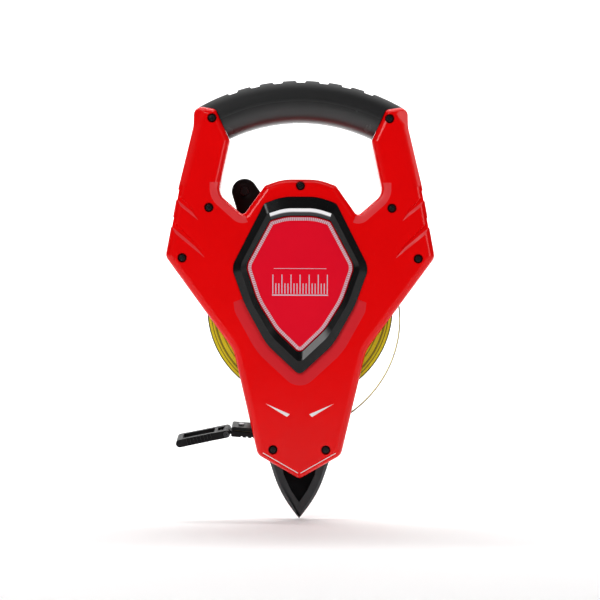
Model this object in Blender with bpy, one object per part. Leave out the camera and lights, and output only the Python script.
"""Open-frame long tape measure: a two-shell frame with a grip, a cranked reel of fibreglass tape,
a guided throat, a folding end ring and a ground spike.

Frame: origin at the tip of the ground spike, +Z up through the grip, +X to the right when the badge is
seen from the front, -Y towards the front. The script works in millimetres and writes metres.
"""

import math

import bmesh
import bpy
from mathutils import Matrix, Vector

MM = 0.001

# Driving dimensions
HALF_DEPTH = 17.0  # from the parting plane to the front or rear face
SLOT = 8.8  # half the gap between the two shells, where the reel turns
WALL = 2.4  # side walls of a shell
SKIN = 2.8  # front or rear wall of a shell
ROLL_OFF = 4.0  # rounding between a face and the side walls
GAP = 0.3  # running or resting gap between neighbours
PARTING = 0.15  # each shell stops this far from the parting plane
ARC_STEP = math.radians(23)  # how far one facet of a rounded corner turns

REEL_Z = 144.0
ROLL_R = 63.4
CORE_R = 20.0
TAPE_WIDTH = 13.0
TAPE_THICK = 0.4

CRANK_REACH = 90.0
CRANK_LEAN = math.radians(25.65)  # from straight up, towards -X
KNOB_X = -CRANK_REACH * math.sin(CRANK_LEAN)
KNOB_Z = REEL_Z + CRANK_REACH * math.cos(CRANK_LEAN)
CRANK_FACE = HALF_DEPTH + 0.7
CRANK_PLATE = 6.0

GRIP_ARC = 127.0  # radius of the grip's centreline
GRIP_TOP = 300.3
GRIP_HALF = 14.65
GRIP_ARC_Z = GRIP_TOP - GRIP_HALF - GRIP_ARC
GRIP_END = math.radians(29.6)
CORE_HALF = 8.0
TREADS = 7
TREAD_PITCH = math.radians(6.43)

PIN_X, PIN_Z = -49.8, 59.5  # hinge pin of the end ring
CLAMP_RISE = math.radians(4.4)  # the end clamp rises a little towards the pin
CLAMP_LIFT = 2.6  # from the hinge pin up to the tape held in the clamp
RING_DROP = math.radians(12.3)  # the ring hangs a little below level
TAPE_TWIST = math.radians(12)  # the slack tape lets its end lean over, rear edge up
THROAT_ARC = 66.5  # the tape's bend inside the throat

SPIKE_HALF = 4.0  # half the spike's thickness

# Screws that hold the two shells together: (x, z)
SCREWS = {
    "screw_arm_left": (-60.3, 273.0),
    "screw_arm_right": (60.3, 273.0),
    "screw_crown": (0.0, 227.2),
    "screw_shoulder_left": (-62.1, 212.2),
    "screw_shoulder_right": (62.1, 212.2),
    "screw_wing_left": (-80.1, 178.0),
    "screw_wing_right": (80.1, 178.0),
    "screw_spike_left": (-17.9, 48.0),
    "screw_spike_right": (17.9, 48.0),
}
SCREW_HEAD_R = 2.8
SCREW_SHANK_R = 1.4
BOSS_R = 4.0

# Outlines as corners (x, z, corner radius), right half, from the bottom up. They are mirrored.
FRAME_CORNERS = [
    (0.0, 28.0, 3.0),
    (28.4, 44.3, 7.0),
    (45.1, 115.3, 22.0),
    (91.9, 179.0, 6.5),
    (82.9, 227.0, 30.0),
    (73.1, 268.0, 20.0),
    (72.9, 281.9, 7.0),
    (57.8, 279.4, 3.5),
    (48.2, 258.0, 1.6),
    (56.0, 222.2, 9.0),
    (38.8, 207.0, 2.6),
    (24.2, 227.6, 3.0),
    (12.2, 231.9, 55.0),
]
BEZEL_CORNERS = [
    (0.0, 98.6, 4.0),
    (22.6, 119.5, 40.0),
    (37.2, 146.0, 60.0),
    (46.4, 171.5, 12.0),
    (24.4, 215.0, 4.0),
    (12.0, 219.5, 55.0),
]
BADGE_CORNERS = [
    (0.0, 113.4, 4.0),
    (16.8, 129.6, 30.0),
    (29.0, 149.0, 50.0),
    (36.8, 172.5, 10.0),
    (20.4, 203.2, 2.5),
    (9.8, 206.4, 45.0),
]

# Roller axes in the throat: (x, z)
ROLLERS = {"upper_roller": (12.6, 65.4), "lower_roller": (-3.0, 55.4)}
ROLLER_R = 3.2

COLOURS = {
    "shell_red": ((0.80, 0.005, 0.01), 0.25, 0.0),
    "grip_black": ((0.03, 0.03, 0.032), 0.6, 0.0),
    "gloss_black": ((0.02, 0.02, 0.022), 0.2, 0.0),
    "satin_black": ((0.03, 0.03, 0.032), 0.45, 0.0),
    "chrome": ((0.8, 0.8, 0.82), 0.1, 1.0),
    "badge_red": ((0.75, 0.01, 0.04), 0.35, 0.0),
    "tape_yellow": ((0.75, 0.62, 0.03), 0.45, 0.0),
    "steel": ((0.5, 0.5, 0.52), 0.35, 1.0),
    "blued_steel": ((0.06, 0.065, 0.07), 0.4, 0.8),
    "screw_black": ((0.03, 0.03, 0.03), 0.35, 0.9),
    "bush_white": ((0.8, 0.8, 0.76), 0.5, 0.0),
}


# ---------------------------------------------------------------- scene helpers


def clear_scene():
    for obj in list(bpy.data.objects):
        bpy.data.objects.remove(obj)


def material(name):
    found = bpy.data.materials.get(name)
    if found:
        return found
    colour, roughness, metallic = COLOURS[name]
    made = bpy.data.materials.new(name)
    made.use_nodes = True
    shader = made.node_tree.nodes["Principled BSDF"]
    shader.inputs["Base Color"].default_value = (*colour, 1.0)
    shader.inputs["Roughness"].default_value = roughness
    shader.inputs["Metallic"].default_value = metallic
    return made


def new_object(name, points, faces, finish=None):
    """A mesh object from points in millimetres, with its normals facing out."""
    mesh = bpy.data.meshes.new(name)
    mesh.from_pydata([[c * MM for c in p] for p in points], [], faces)
    work = bmesh.new()
    work.from_mesh(mesh)
    bmesh.ops.recalc_face_normals(work, faces=work.faces)
    work.to_mesh(mesh)
    work.free()
    obj = bpy.data.objects.new(name, mesh)
    bpy.context.scene.collection.objects.link(obj)
    if finish:
        obj.data.materials.append(material(finish))
    return obj


def boolean(target, tool, operation):
    """Cuts tool from target, or joins it on, and removes the tool."""
    step = target.modifiers.new(operation.lower(), "BOOLEAN")
    step.operation = operation
    step.solver = "EXACT"
    step.object = tool
    graph = bpy.context.evaluated_depsgraph_get()
    made = bpy.data.meshes.new_from_object(target.evaluated_get(graph))
    target.modifiers.remove(step)
    made.name = target.name
    target.data = made
    bpy.data.objects.remove(tool)


def cut(target, *tools):
    for tool in tools:
        boolean(target, tool, "DIFFERENCE")


def join(target, *tools):
    for tool in tools:
        boolean(target, tool, "UNION")


def smooth(obj, degrees=32.0):
    obj.data.shade_smooth()
    obj.data.set_sharp_from_angle(angle=math.radians(degrees))


# ---------------------------------------------------------------- outlines


def mirrored(half):
    """The whole outline from its right half: corners on the centre line are used once."""
    left = [(-x, z, r) for x, z, r in reversed(half) if x > 0]
    return list(half) + left


def offset_corner(before, here, after, inset):
    """Where the two edges meet after both move inwards, and how sharply the outline turns there."""
    x, z, _ = here
    ax, az = x - before[0], z - before[1]
    bx, bz = after[0] - x, after[1] - z
    la, lb = math.hypot(ax, az), math.hypot(bx, bz)
    ax, az, bx, bz = ax / la, az / la, bx / lb, bz / lb
    turn = math.atan2(ax * bz - az * bx, ax * bx + az * bz)
    share = inset / (1.0 + ax * bx + az * bz)
    return x - share * (az + bz), z + share * (ax + bx), turn


def rounded(corners, inset=0.0, steps=None):
    """Points (x, z) round a counter-clockwise outline, moved inwards by inset, with each corner an arc.

    Outlines that get joined to one another need the same number of points, so they pass steps."""
    count = len(corners)
    moved = []
    for i, (_, _, radius) in enumerate(corners):
        x, z, turn = offset_corner(corners[i - 1], corners[i], corners[(i + 1) % count], inset)
        new_radius = radius - inset if turn > 0 else radius + inset
        moved.append((x, z, turn, max(new_radius, 0.25)))
    points = []
    for i, (x, z, turn, radius) in enumerate(moved):
        px, pz = moved[i - 1][:2]
        nx, nz = moved[(i + 1) % count][:2]
        back, ahead = math.hypot(px - x, pz - z), math.hypot(nx - x, nz - z)
        tangent = min(radius * abs(math.tan(turn / 2)), 0.47 * back, 0.47 * ahead)
        start = (x + (px - x) / back * tangent, z + (pz - z) / back * tangent)
        end = (x + (nx - x) / ahead * tangent, z + (nz - z) / ahead * tangent)
        points += arc_through(start, (x, z), end, turn, steps or max(1, round(abs(turn) / ARC_STEP)))
    return points


def arc_through(start, corner, end, turn, steps):
    """Points of the arc that leaves start and reaches end, tangent to the two edges at the corner."""
    if abs(turn) < 1e-4:
        return [tuple(s + (e - s) * k / steps for s, e in zip(start, end)) for k in range(steps + 1)]
    made = []
    half = turn / 2
    for k in range(steps + 1):
        t = k / steps
        # A rational quadratic with this weight is exactly a circular arc.
        weight = math.cos(half)
        a, b, c = (1 - t) ** 2, 2 * t * (1 - t) * weight, t**2
        total = a + b + c
        made.append(tuple((a * s + b * m + c * e) / total for s, m, e in zip(start, corner, end)))
    return made


def chain_offset(points, distance):
    """An open chain of points moved sideways: to its right when distance is positive."""
    moved = []
    for i, (x, z) in enumerate(points):
        px, pz = points[max(i - 1, 0)]
        nx, nz = points[min(i + 1, len(points) - 1)]
        dx, dz = nx - px, nz - pz
        length = math.hypot(dx, dz) or 1.0
        moved.append((x + distance * dz / length, z - distance * dx / length))
    return moved


# ---------------------------------------------------------------- solids


def loft(name, rings, finish=None, closed=False):
    """A solid through equal rings of points (x, y, z). Its ends are capped unless it is closed."""
    count = len(rings[0])
    points = [p for ring in rings for p in ring]
    faces = []
    last = len(rings) if closed else len(rings) - 1
    for i in range(last):
        a, b = i * count, (i + 1) % len(rings) * count
        for k in range(count):
            n = (k + 1) % count
            faces.append((a + k, a + n, b + n, b + k))
    if not closed:
        faces.append(tuple(range(count)))
        faces.append(tuple(range((len(rings) - 1) * count, len(rings) * count)))
    return new_object(name, points, faces, finish)


def prism(name, outline, y0, y1, finish=None):
    return loft(name, [[(x, y, z) for x, z in outline] for y in (y0, y1)], finish)


def box(name, x0, x1, y0, y1, z0, z1):
    return prism(name, [(x0, z0), (x1, z0), (x1, z1), (x0, z1)], y0, y1)


def turned(name, centre, profile, finish=None, steps=40):
    """A body turned about the line along Y through centre.

    profile is a list of (radius, y): a closed loop, or a chain that starts and ends on the axis."""
    cx, cz = centre
    solid = profile[0][0] == 0
    body = profile[1:-1] if solid else profile
    count = len(body)
    points, faces = [], []
    for i in range(steps):
        a = 2 * math.pi * i / steps
        points += [(cx + r * math.cos(a), y, cz + r * math.sin(a)) for r, y in body]
    for i in range(steps):
        here, there = i * count, (i + 1) % steps * count
        for k in range(count - 1 if solid else count):
            n = (k + 1) % count
            faces.append((here + k, here + n, there + n, there + k))
        if solid:
            faces.append((here, there, steps * count))
            faces.append((there + count - 1, here + count - 1, steps * count + 1))
    if solid:
        points += [(cx, profile[0][1], cz), (cx, profile[-1][1], cz)]
    return new_object(name, points, faces, finish)


def rod(name, centre, radius, y0, y1, finish=None, steps=24):
    cx, cz = centre
    ring = [2 * math.pi * i / steps for i in range(steps)]
    outline = [(cx + radius * math.cos(a), cz + radius * math.sin(a)) for a in ring]
    return prism(name, outline, y0, y1, finish)


def tube(name, centre, outer, inner, y0, y1, finish=None, steps=40):
    return turned(name, centre, [(inner, y0), (outer, y0), (outer, y1), (inner, y1)], finish, steps)


def ramp_cutter(name, edge, inner, depth, side, reach=3.0):
    """Cuts a ramp into a face: depth[i] deep at edge[i], running out to nothing at inner[i].

    It starts outside the edge by reach, which stays under the radius of any corner the edge goes round."""
    rings = []
    for (ex, ez), (ix, iz), deep in zip(edge, inner, depth):
        width = math.hypot(ex - ix, ez - iz)
        ux, uz = (ex - ix) / width, (ez - iz) / width
        slope = deep / width
        out_x, out_z = ex + reach * ux, ez + reach * uz
        in_x, in_z = ix - ux, iz - uz
        low = side * (HALF_DEPTH - deep - reach * slope)
        rings.append([
            (out_x, low, out_z),
            (in_x, side * (HALF_DEPTH + slope + 0.01), in_z),
            (in_x, side * (HALF_DEPTH + 3), in_z),
            (out_x, side * (HALF_DEPTH + 3), out_z),
        ])
    return loft(name, rings)


# ---------------------------------------------------------------- the two shells


def shell_blank(name, side):
    """The outside of a shell, with its face rolled off into the side walls."""
    corners = mirrored(FRAME_CORNERS)
    levels = [(0.0, PARTING), (0.0, HALF_DEPTH - ROLL_OFF)]
    for degrees in (30, 60, 90):
        a = math.radians(degrees)
        levels.append((ROLL_OFF * (1 - math.cos(a)), HALF_DEPTH - ROLL_OFF + ROLL_OFF * math.sin(a)))
    rings = [[(x, side * y, z) for x, z in rounded(corners, inset)] for inset, y in levels]
    return loft(name, rings, "shell_red")


def shoulder_ramp(side, hand):
    """The broad ramp round the lower corner of the hand opening."""
    corner = rounded(mirrored(FRAME_CORNERS), 0.0)
    edge = [p for p in corner if 38.0 < p[0] < 56.5 and 206.5 < p[1] < 224.5]
    edge = [(55.0, 229.5)] + edge
    inner = chain_offset(edge, -6.6)
    return ramp_cutter("shoulder_ramp", [(hand * x, z) for x, z in edge],
                       [(hand * x, z) for x, z in inner], [2.0] * len(edge), side, 1.2)


def arm_ramp(side, hand):
    """The facet down the outer side of an arm."""
    edge = [(hand * x, z) for x, z in ((72.9, 290.0), (73.2, 268.0), (77.0, 250.0), (82.6, 227.6))]
    inner = [(hand * x, z) for x, z in ((64.6, 290.0), (65.6, 268.0), (70.4, 248.6), (76.0, 226.4))]
    return ramp_cutter("arm_ramp", edge, inner, [3.0, 3.0, 2.8, 2.2], side)


def bezel_ramp(side):
    """The ramp that runs down to the bezel round its lower half, fading out at its two upper ends."""
    chain = [p for p in rounded(mirrored(BEZEL_CORNERS), 0.4, 3) if p[1] < 165.0]
    left = sorted([p for p in chain if p[0] < -0.01], key=lambda p: -p[1])
    right = sorted([p for p in chain if p[0] > 0.01], key=lambda p: p[1])
    edge = left + right
    fade = [min(1.0, 0.25 + (165.0 - z) / 26.0) for _, z in edge]
    outer = chain_offset(edge, 1.0)
    inner = [(ex + (ox - ex) * 8.8 * f, ez + (oz - ez) * 8.8 * f)
             for (ex, ez), (ox, oz), f in zip(edge, outer, fade)]
    return ramp_cutter("bezel_ramp", edge, inner, [1.5 * f for f in fade], side, 1.2)


def wing_channel(side, hand, outer_z, tip):
    """A shallow channel that runs in from the wing's edge and tapers to a point."""
    edge_x = 91.9 - (outer_z - 179.0) * 0.1875
    tip_x, tip_z = tip
    reach = 7.0
    dx, dz = edge_x - tip_x, outer_z - tip_z
    length = math.hypot(dx, dz)
    ux, uz = dx / length, dz / length
    sections = []
    for along, height, deep in ((0.0, 1.2, 0.15), (0.3 * length, 5.5, 1.3), (length + reach, 9.2, 1.8)):
        bx, bz = tip_x + ux * along, tip_z + uz * along
        foot = height * 0.3
        sections.append([
            (hand * bx, side * (HALF_DEPTH + 1.5), bz - 0.4 * height),
            (hand * bx, side * HALF_DEPTH, bz),
            (hand * bx, side * (HALF_DEPTH - deep), bz + foot),
            (hand * bx, side * (HALF_DEPTH - deep), bz + 0.8 * height),
            (hand * bx, side * HALF_DEPTH, bz + height),
            (hand * bx, side * (HALF_DEPTH + 1.5), bz + 1.2 * height),
        ])
    return loft("wing_channel", sections)


def wing_notch(side, hand, outer_z):
    """The channel's mouth, seen as a shallow notch in the wing's outline."""
    lean = -0.1875
    edge_x = 91.9 + (outer_z - 179.0) * lean
    outline = [(edge_x + 2.0, outer_z - 0.6), (edge_x - 1.3, outer_z + 1.9),
               (edge_x - 1.3 + lean * 6.2, outer_z + 8.1), (edge_x + 2.0 + lean * 11.0, outer_z + 11.0)]
    return prism("wing_notch", [(hand * x, z) for x, z in outline], side * (PARTING - 0.1), side * 20)


def shell_hollow(side):
    corners = mirrored(FRAME_CORNERS)
    levels = [(WALL, 0.0), (WALL, HALF_DEPTH - SKIN - 2.0), (WALL + 2.0, HALF_DEPTH - SKIN)]
    rings = [[(x, side * (y - (y == 0)), z) for x, z in rounded(corners, inset)] for inset, y in levels]
    return loft("hollow", rings)


def grip_sweep(name, half_radial, half_y, end, steps, ring, power=2.0, finish=None):
    """A bar bent along the grip's arc, with a rounded section."""
    sections = []
    for i in range(steps + 1):
        a = -end + 2 * end * i / steps
        section = []
        for k in range(ring):
            t = 2 * math.pi * k / ring
            c, s = math.cos(t), math.sin(t)
            radial = GRIP_ARC + half_radial * math.copysign(abs(c) ** (2 / power), c)
            y = half_y * math.copysign(abs(s) ** (2 / power), s)
            section.append((radial * math.sin(a), y, GRIP_ARC_Z + radial * math.cos(a)))
        sections.append(section)
    return loft(name, sections, finish)


def screw_boss(side, centre, inner_end):
    return rod("boss", centre, BOSS_R, side * inner_end, side * (HALF_DEPTH - 2.4), steps=12)


def boss_end(name):
    """How near the parting plane a screw's boss comes: it stops at whatever the screw clamps."""
    if "spike" in name:
        return SPIKE_HALF + GAP
    if "arm" in name:
        return CORE_HALF + GAP
    return PARTING + 0.1


def spike_outline(inset=0.0):
    """The spike's two bowed edges, then its tang inside the frame, all moved inwards by inset."""
    right = []
    for k in range(9):
        t = k / 8
        bow = 2.5 * math.sin(math.pi * t)
        right.append((19.7 * t + 0.88 * bow, 37.0 * t - 0.47 * bow))
    right += [(22.8, 44.5), (22.8, 51.0), (21.0, 52.6), (14.4, 52.6), (9.0, 45.0)]
    outline = right + [(-x, z) for x, z in reversed(right) if x > 0]
    corners = [(x, z, 0.0) for x, z in outline]
    moved = []
    for i, corner in enumerate(corners):
        x, z, _ = offset_corner(corners[i - 1], corner, corners[(i + 1) % len(corners)], inset)
        moved.append((x, z))
    return moved


def make_shell(name, side):
    """side -1 makes the front shell and +1 the rear one."""
    shell = shell_blank(name, side)
    for hand in (-1, 1):
        cut(shell, shoulder_ramp(side, hand), arm_ramp(side, hand))
        for outer_z, tip in ((215.8, (69.5, 203.6)), (197.4, (65.0, 178.2))):
            cut(shell, wing_channel(side, hand, outer_z, tip), wing_notch(side, hand, outer_z))
    if side < 0:
        cut(shell, bezel_ramp(side))
        pocket = rounded(mirrored(BEZEL_CORNERS), -GAP, 4)
        cut(shell, prism("pocket", pocket, -15.4, -20))
    cut(shell, shell_hollow(side))
    cut(shell, box("window", -110, 110, side * -1, side * SLOT, 52.8, 166.0))
    if side < 0:
        backing = rounded(mirrored(BEZEL_CORNERS), -2.4)
        join(shell, prism("backing", backing, -14.9, -12.6))
        join(shell, rod("hub_boss", (0, REEL_Z), 14.2, -9.4, -13.5, steps=24))
        cut(shell, rod("bush_seat", (0, REEL_Z), 11.2, -1, -14.4, steps=24))
    else:
        join(shell, rod("hub_boss", (0, REEL_Z), 18.6, 9.6, 16.0, steps=24))
        cut(shell, rod("bush_seat", (0, REEL_Z), 15.2, 1, 20, steps=24))
    for screw, centre in SCREWS.items():
        join(shell, screw_boss(side, centre, boss_end(screw)))
    for centre in ROLLERS.values():
        join(shell, rod("pin_boss", centre, 3.4, side * 8.3, side * 15.0, steps=12))
        cut(shell, rod("pin_hole", centre, 1.5 + GAP, side * 1, side * 13.0, steps=12))
    cut(shell, grip_sweep("core_way", CORE_HALF + GAP, CORE_HALF + GAP, math.radians(30.2), 8, 12, 5.0))
    cut(shell, prism("spike_way", spike_outline(-0.35), -SPIKE_HALF - GAP, SPIKE_HALF + GAP))
    for centre in SCREWS.values():
        reach = side * 30 if side < 0 else side * 12.5
        cut(shell, rod("screw_hole", centre, SCREW_SHANK_R + GAP, -side * 1, reach, steps=10))
        if side < 0:
            cut(shell, rod("screw_sink", centre, SCREW_HEAD_R + 0.45, -13.6, -30, steps=16))
    smooth(shell)
    return shell


# ---------------------------------------------------------------- grip and core


def make_grip():
    grip = grip_sweep("grip", GRIP_HALF, 14.4, GRIP_END, 22, 16, 2.3, "grip_black")
    cut(grip, prism("arms", rounded(mirrored(FRAME_CORNERS), -0.35), -30, 30))
    cut(grip, grip_sweep("core_bore", CORE_HALF + GAP, CORE_HALF + GAP, math.radians(36), 12, 12, 5.0))
    top = GRIP_ARC + GRIP_HALF
    for i in range(TREADS):
        a = (i - (TREADS - 1) / 2) * TREAD_PITCH
        outline = []
        for half_width, radial in ((1.15, top - 2.0), (2.0, top + 2.0)):
            for s in ((-1, 1) if radial < top else (1, -1)):
                t = a + math.radians(half_width) * s
                outline.append((radial * math.sin(t), GRIP_ARC_Z + radial * math.cos(t)))
        cut(grip, prism("tread", outline, -20, 20))
    smooth(grip)
    return grip


def make_handle_core():
    core = grip_sweep("handle_core", CORE_HALF, CORE_HALF, math.radians(30.0), 12, 12, 5.0, "satin_black")
    for name in ("screw_arm_left", "screw_arm_right"):
        cut(core, rod("hole", SCREWS[name], SCREW_SHANK_R + GAP, -20, 20, steps=10))
    smooth(core)


# ---------------------------------------------------------------- front trim


def blended(share):
    """Corners part of the way from the bezel's outline to the badge's."""
    return [tuple(a + (b - a) * share for a, b in zip(outer, inner))
            for outer, inner in zip(BEZEL_CORNERS, BADGE_CORNERS)]


def make_bezel():
    outer, crest, inner = (mirrored(c) for c in (BEZEL_CORNERS, blended(0.56), BADGE_CORNERS))
    steps = ((outer, 0.0, -15.7), (outer, 0.0, -17.5), (crest, 0.0, -20.4), (inner, -0.4, -18.2),
             (inner, -0.4, -15.7))
    rings = [[(x, y, z) for x, z in rounded(c, inset, 4)] for c, inset, y in steps]
    bezel = loft("bezel", rings, "gloss_black", closed=True)
    smooth(bezel, 25)


def make_badge():
    corners = mirrored(BADGE_CORNERS)
    steps = ((0.1, -15.7), (0.1, -17.2), (0.5, -17.6))
    rings = [[(x, y, z) for x, z in rounded(corners, inset, 4)] for inset, y in steps]
    badge = loft("badge", rings, "badge_red")
    smooth(badge, 25)


def make_bezel_trim():
    """A bright strip that lies on the bezel's inner slope, across its top."""
    crest, inner = (rounded(mirrored(c), i, 4) for c, i in ((blended(0.6), 0.0), (BADGE_CORNERS, -0.8)))
    strip = [(a, b) for a, b in zip(crest, inner) if a[1] > 205.5 and abs(b[0]) < 19.9]
    rings = []
    for (ax, az), (bx, bz) in strip:
        rings.append([(ax, -20.5, az), (ax, -21.0, az), (bx, -18.95, bz), (bx, -18.65, bz)])
    trim = loft("bezel_trim", rings, "chrome")
    smooth(trim, 25)


# ---------------------------------------------------------------- spike


def make_spike():
    """A flat blade with ground edges and a shallow bowl in each face."""
    levels = ((1.9, -SPIKE_HALF), (0.0, -1.8), (0.0, 1.8), (1.9, SPIKE_HALF))
    rings = [[(x, y, z) for x, z in spike_outline(inset)] for inset, y in levels]
    spike = loft("spike", rings, "blued_steel")
    bowl = [(0.0, 11.2), (5.6, 19.4), (10.6, 30.0), (12.0, 38.0),
            (-12.0, 38.0), (-10.6, 30.0), (-5.6, 19.4)]
    for side in (-1, 1):
        cut(spike, prism("bowl", bowl, side * (SPIKE_HALF - 2.0), side * 10))
    for name in ("screw_spike_left", "screw_spike_right"):
        cut(spike, rod("hole", SCREWS[name], SCREW_SHANK_R + GAP, -20, 20, steps=10))
    smooth(spike, 25)


# ---------------------------------------------------------------- reel


def make_drum():
    profile = [
        (0, -13.9), (8.0, -13.9), (8.0, -8.2), (40.0, -8.2), (40.0, -6.8), (CORE_R, -6.8),
        (CORE_R, 6.8), (58.0, 6.8), (58.0, 8.2), (12.0, 8.2), (12.0, 17.0), (0, 17.0),
    ]
    drum = turned("drum", (0, REEL_Z), profile, "satin_black", 32)
    join(drum, box("drive", -6, 6, 16.0, 22.0, REEL_Z - 6, REEL_Z + 6))
    cut(drum, rod("pilot", (0, REEL_Z), 2.2, -2, 30, steps=12))
    for k in range(6):
        a = math.radians(34 + 60 * k)
        centre = (39 * math.cos(a), REEL_Z + 39 * math.sin(a))
        cut(drum, rod("lightening", centre, 12.0, 5, 12, steps=16))
    cut(drum, rod("anchor_hole", (0, REEL_Z + 16.6), 1.8, -20, 4.0, steps=10))
    smooth(drum)
    rod("tape_anchor_pin", (0, REEL_Z + 16.6), 1.5, -7.6, 3.6, "steel", 10)


def make_tape():
    tube("tape_roll", (0, REEL_Z), ROLL_R, CORE_R + GAP, -TAPE_WIDTH / 2, TAPE_WIDTH / 2, "tape_yellow", 48)
    smooth(bpy.data.objects["tape_roll"])
    centre_line = tape_route()
    above, below = (chain_offset(centre_line, s * TAPE_THICK / 2) for s in (1, -1))
    half = TAPE_WIDTH / 2
    rings = []
    for (ax, az), (bx, bz) in zip(above, below):
        section = ((ax, -half, az), (ax, half, az), (bx, half, bz), (bx, -half, bz))
        rings.append([leaned(point, twist_at(ax)) for point in section])
    tail = loft("tape_tail", rings, "tape_yellow")
    for u in CLAMP_RIVETS:
        cut(tail, lean_over(upright_rod("hole", clamp_point(u, 0), 1.4, 3.0)))
    smooth(tail)


def tape_route():
    """Where the free tape runs: off the roll in a slack spiral, through the throat, to the end clamp."""
    points = []
    start, end = 60.0, -61.5
    for k in range(33):
        a = start + (end - start) * k / 32
        r = ROLL_R + 0.8 + 3.9 * ((start - a) / 60.0) ** 1.9
        points.append((r * math.cos(math.radians(a)), REEL_Z + r * math.sin(math.radians(a))))
    (x0, z0), (x1, z1) = points[-2], points[-1]
    heading = math.atan2(z1 - z0, x0 - x1)
    steps = 10
    for k in range(1, steps + 1):
        mid = heading + (CLAMP_RISE - heading) * (k - 0.5) / steps
        arc = THROAT_ARC * (CLAMP_RISE - heading) / steps
        x1, z1 = x1 - arc * math.cos(mid), z1 + arc * math.sin(mid)
        points.append((x1, z1))
    return points + [clamp_point(u, 0) for u in (-26.0, -20.0, -13.0, -5.4)]


# ---------------------------------------------------------------- end clamp and ring

CLAMP_RIVETS = (-9.5, -20.0)
CLAMP_END = -25.0


def clamp_point(u, w):
    """A point on the clamp: u past the hinge pin, away from the frame, and w above the tape it holds."""
    up = w + CLAMP_LIFT
    return (PIN_X - u * math.cos(CLAMP_RISE) + up * math.sin(CLAMP_RISE),
            PIN_Z + u * math.sin(CLAMP_RISE) + up * math.cos(CLAMP_RISE))


def leaned(point, angle):
    """A point turned about the clamp's long line through the hinge pin, with its rear side going up."""
    pin = Vector((PIN_X, 0.0, PIN_Z))
    run = Vector((math.cos(CLAMP_RISE), 0.0, -math.sin(CLAMP_RISE)))
    return tuple(pin + Matrix.Rotation(angle, 3, run) @ (Vector(point) - pin))


def twist_at(x):
    """How far the tape has twisted: not at all at the rollers, and fully where the clamp takes hold."""
    if x > 0:
        return 0.0
    return TAPE_TWIST * min(1.0, max(0.0, (-7.0 - x) / 17.0))


def lean_over(obj):
    """Leans a finished piece over with the tape's end."""
    for vertex in obj.data.vertices:
        vertex.co = [c * MM for c in leaned(vertex.co / MM, TAPE_TWIST)]
    return obj


def upright_rod(name, foot, radius, reach, finish=None, steps=10):
    """A rod square to the clamp, centred on foot, reach long each way."""
    fx, fz = foot
    ux, uz = -math.cos(CLAMP_RISE), math.sin(CLAMP_RISE)
    wx, wz = math.sin(CLAMP_RISE), math.cos(CLAMP_RISE)
    rings = []
    for w in (-reach, reach):
        ring = []
        for i in range(steps):
            a = 2 * math.pi * i / steps
            u, y = radius * math.cos(a), radius * math.sin(a)
            ring.append((fx + u * ux + w * wx, y, fz + u * uz + w * wz))
        rings.append(ring)
    return loft(name, rings, finish)


def clamp_prism(name, outline, half_y, finish=None):
    return prism(name, [clamp_point(u, w) for u, w in outline], -half_y, half_y, finish)


def make_clamp():
    """Two plastic jaws riveted through the tape's end. The lower jaw carries the hinge knuckle."""
    jaw_top = [(CLAMP_END, 0.35), (-3.2, 0.35), (-3.2, 2.2), (-4.2, 2.8), (CLAMP_END, 2.8)]
    upper = clamp_prism("clamp_upper", jaw_top, 7.4, "satin_black")
    lower = clamp_prism("clamp_lower", [(CLAMP_END, -4.2), (-4.2, -4.2), (-3.2, -3.6), (-3.2, -0.35),
                                        (CLAMP_END, -0.35)], 7.4, "satin_black")
    join(lower, rod("knuckle", (PIN_X, PIN_Z), 2.7, -3.6, 3.6, steps=14))
    join(lower, clamp_prism("neck", [(-5.0, -3.5), (0, -3.5), (0, -1.2), (-5.0, -1.2)], 3.3))
    cut(lower, rod("pin_hole", (PIN_X, PIN_Z), 1.3 + GAP, -9, 9, steps=14))
    cut(upper, rod("knuckle_room", (PIN_X, PIN_Z), 3.1, -9, 9, steps=14))
    for k in range(4):
        u = -22.0 + 3.6 * k
        cut(lower, clamp_prism("rib", [(u, -5.0), (u + 1.2, -5.0), (u + 1.2, -3.5), (u, -3.5)], 9))
    for name, u in zip(("clamp_rivet_front", "clamp_rivet_back"), CLAMP_RIVETS):
        for jaw in (upper, lower):
            cut(jaw, upright_rod("hole", clamp_point(u, 0), 1.4, 5.0))
        rivet = upright_rod(name, clamp_point(u, -0.6), 1.1, 3.9, "steel")
        for w in (3.4, -4.6):
            join(rivet, upright_rod("head", clamp_point(u, w), 2.1, 0.28))
        lean_over(rivet)
    smooth(lean_over(upper))
    smooth(lean_over(lower))
    hollow_rivet = [(0.6, -8.6), (1.9, -8.6), (2.0, -8.3), (1.3, -8.3),
                    (1.3, 8.3), (2.0, 8.3), (1.9, 8.6), (0.6, 8.6)]
    lean_over(turned("hinge_pin", (PIN_X, PIN_Z), hollow_rivet, "blued_steel", 14))


def ring_point(u, w):
    """A point on the end ring: u along it from the hinge pin, w above its middle."""
    return (PIN_X - u * math.cos(RING_DROP) - w * math.sin(RING_DROP),
            PIN_Z - u * math.sin(RING_DROP) + w * math.cos(RING_DROP))


def ring_prism(name, outline, y0, y1, finish=None):
    return prism(name, [ring_point(u, w) for u, w in outline], y0, y1, finish)


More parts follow.
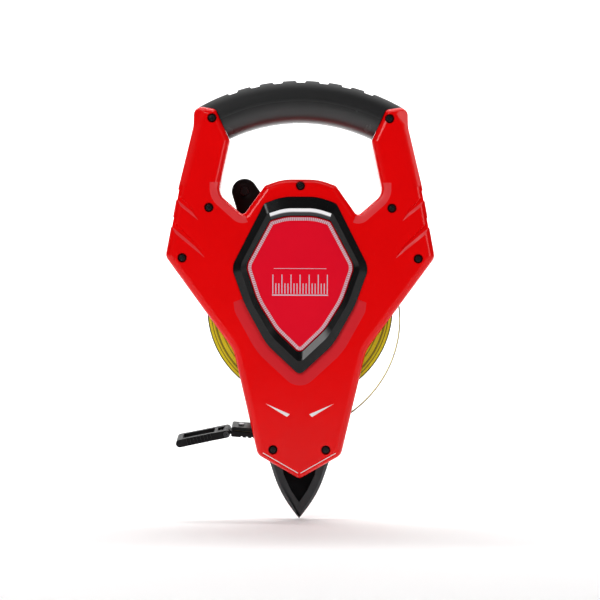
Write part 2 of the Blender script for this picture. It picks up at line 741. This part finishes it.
def make_ring():
    """The folding end ring: two rails, a rounded end bar and a slot that drops over a nail."""
    bar = 2.75
    side_view = []
    for centre, radius, first in ((0.0, 2.6, 90), (32.6, bar, -90)):
        for degrees in range(first, first + 181, 20):
            a = math.radians(degrees)
            side_view.append((centre + radius * math.cos(a), radius * math.sin(a)))
    ring = ring_prism("pull_ring", side_view, -8.0, 8.0, "satin_black")
    cut(ring, ring_prism("slot", [(8.0, -6), (30.0, -6), (30.0, 6), (8.0, 6)], -5.2, 5.2))
    cut(ring, ring_prism("knuckle_room", [(-6, -6), (5.8, -6), (5.8, 6), (-6, 6)], -4.0, 4.0))
    cut(ring, rod("pin_hole", (PIN_X, PIN_Z), 1.3 + GAP, -12, 12, steps=14))
    for k in range(8):
        u = 9.6 + 2.4 * k
        for y0, y1 in ((-9, -7.5), (7.5, 9)):
            cut(ring, ring_prism("rib", [(u, -4), (u + 1.1, -4), (u + 1.1, 4), (u, 4)], y0, y1))
    smooth(lean_over(ring))


# ---------------------------------------------------------------- bushes, rollers, crank


def make_bushes():
    front = [(8.25, -14.1), (10.9, -14.1), (10.9, -9.1), (13.2, -9.1), (13.2, -8.5), (8.25, -8.5)]
    turned("front_bush", (0, REEL_Z), front, "bush_white", 24)
    rear = [(12.25, 8.5), (17.6, 8.5), (17.6, 9.3), (14.9, 9.3), (14.9, 17.2), (12.25, 17.2)]
    turned("rear_bush", (0, REEL_Z), rear, "bush_white", 24)


def make_rollers():
    for name, centre in ROLLERS.items():
        wall = [(1.75, -7.8), (2.6, -7.8), (ROLLER_R, -7.2), (ROLLER_R, 7.2), (2.6, 7.8), (1.75, 7.8)]
        smooth(turned(name, centre, wall, "bush_white", 16))
        rod(name + "_pin", centre, 1.5, -12.6, 12.6, "steel", 10)


def teardrop(hub, end, steps=18):
    """The outline round the crank's hub and its knob boss, joined by the two lines that touch both."""
    lean = math.pi / 2 + CRANK_LEAN
    flare = math.acos((hub - end) / CRANK_REACH)
    points = []
    for k in range(steps + 1):
        a = lean + flare + (2 * math.pi - 2 * flare) * k / steps
        points.append((hub * math.cos(a), REEL_Z + hub * math.sin(a)))
    for k in range(steps // 2 + 1):
        a = lean - flare + 2 * flare * k / (steps // 2)
        points.append((KNOB_X + end * math.cos(a), KNOB_Z + end * math.sin(a)))
    return points


def make_crank():
    near, far = CRANK_FACE, CRANK_FACE + CRANK_PLATE
    plate = [(0.8, near), (0.0, near + 0.8), (0.0, far - 1.2), (1.2, far)]
    rings = [[(x, y, z) for x, z in teardrop(22.5 - inset, 8.9 - inset)] for inset, y in plate]
    crank = loft("crank", rings, "satin_black")
    cut(crank, arm_recess(far - 2.0, far + 2))
    join(crank, rod("hub", (0, REEL_Z), 13.0, far - 2.5, far + 4.0, steps=24))
    cut(crank, rod("sink", (0, REEL_Z), 7.4, far + 1.6, far + 8, steps=20))
    cut(crank, box("drive", -6.3, 6.3, near - 2, 22.4, REEL_Z - 6.3, REEL_Z + 6.3))
    cut(crank, rod("screw_hole", (0, REEL_Z), 2.3, near - 2, far + 8, steps=12))
    dish = [(0, near - 1), (6.4, near - 1), (6.4, near), (3.6, near + 0.9), (0, near + 0.9)]
    cut(crank, turned("dish", (KNOB_X, KNOB_Z), dish, steps=20))
    cut(crank, rod("pin_sink", (KNOB_X, KNOB_Z), 3.3, near - 1, near + 1.6, steps=16))
    cut(crank, rod("pin_hole", (KNOB_X, KNOB_Z), 2.8, near - 2, far + 2, steps=16))
    smooth(crank)
    turned("crank_washer", (0, REEL_Z), [(2.3, 25.6), (7.0, 25.6), (7.0, 26.6), (2.3, 26.6)], "steel", 20)
    shape = [(0, 2.0), (1.9, 2.0), (1.9, 26.9), (4.4, 26.9), (4.2, 28.4), (3.0, 29.3), (0, 29.5)]
    screw = turned("crank_screw", (0, REEL_Z), shape, "screw_black", 16)
    cut(screw, *cross_recess((0, REEL_Z), 1, 28.0, 1.9))
    smooth(screw)


def arm_recess(y0, y1):
    """The shallow pan along the back of the crank's arm, between the hub and the knob boss."""
    lean = math.pi / 2 + CRANK_LEAN
    ux, uz = math.cos(lean), math.sin(lean)
    vx, vz = -uz, ux
    outline = []
    for along, half in ((21.0, 13.0), (74.0, 5.6)):
        for s in ((-1, 1) if along < 50 else (1, -1)):
            outline.append((ux * along + vx * half * s, REEL_Z + uz * along + vz * half * s))
    return prism("arm_pan", outline, y0, y1)


def make_knob():
    centre = (KNOB_X, KNOB_Z)
    start = CRANK_FACE + CRANK_PLATE + GAP
    profile = [(2.8, start), (6.6, start), (7.6, start + 1.0), (7.4, start + 6), (8.4, start + 18),
               (9.0, start + 28), (8.6, start + 32.5), (7.2, start + 34.5), (5.2, start + 34.5),
               (5.2, start + 31.5), (2.8, start + 31.5)]
    smooth(turned("knob", centre, profile, "satin_black", 24), 40)
    cap = [(0, start + 32.6), (4.9, start + 32.6), (4.9, start + 34.2), (3.6, start + 35.2), (0, start + 35.5)]
    turned("knob_cap", centre, cap, "satin_black", 18)
    near = CRANK_FACE
    pin = [(0, near - 0.2), (2.5, near - 0.2), (2.95, near + 0.2), (2.95, near + 1.3), (2.5, near + 1.3),
           (2.5, start + 31.2), (0, start + 31.2)]
    turned("knob_pin", centre, pin, "screw_black", 14)


# ---------------------------------------------------------------- screws


def cross_recess(centre, side, y, reach):
    """Two small bars that cut a cross into a screw head that faces along side * Y."""
    cx, cz = centre
    y0, y1 = y, y + side * 6
    return (box("slot", cx - reach, cx + reach, y0, y1, cz - 0.4, cz + 0.4),
            box("slot", cx - 0.4, cx + 0.4, y0, y1, cz - reach, cz + reach))


def make_screws():
    for name, centre in SCREWS.items():
        head = -13.9
        profile = [(0, 11.8), (SCREW_SHANK_R, 11.0), (SCREW_SHANK_R, head), (SCREW_HEAD_R, head),
                   (SCREW_HEAD_R, head - 1.1), (2.0, head - 2.0), (0, head - 2.3)]
        smooth(turned(name, centre, profile, "screw_black", 12))


# ---------------------------------------------------------------- joint axes

# What turns, and the axis (x, z) along Y that it turns about
TURNING = {
    (0.0, REEL_Z): (
        "drum", "tape_anchor_pin", "tape_roll", "crank", "crank_washer", "crank_screw", "knob_pin",
    ),
    (KNOB_X, KNOB_Z): ("knob", "knob_cap"),
    (PIN_X, PIN_Z): ("pull_ring",),
    ROLLERS["upper_roller"]: ("upper_roller",),
    ROLLERS["lower_roller"]: ("lower_roller",),
}


def put_origins_on_axes():
    """Each turning piece gets its origin on the axis it turns about, and stays where it is."""
    for (x, z), names in TURNING.items():
        axis = Vector((x * MM, 0.0, z * MM))
        for name in names:
            obj = bpy.data.objects[name]
            obj.data.transform(Matrix.Translation(-axis))
            obj.location = axis


def main():
    clear_scene()
    make_shell("front_shell", -1)
    make_shell("rear_shell", 1)
    make_grip()
    make_handle_core()
    make_bezel()
    make_badge()
    make_bezel_trim()
    make_spike()
    make_drum()
    make_tape()
    make_clamp()
    make_ring()
    make_bushes()
    make_rollers()
    make_crank()
    make_knob()
    make_screws()
    put_origins_on_axes()


main()
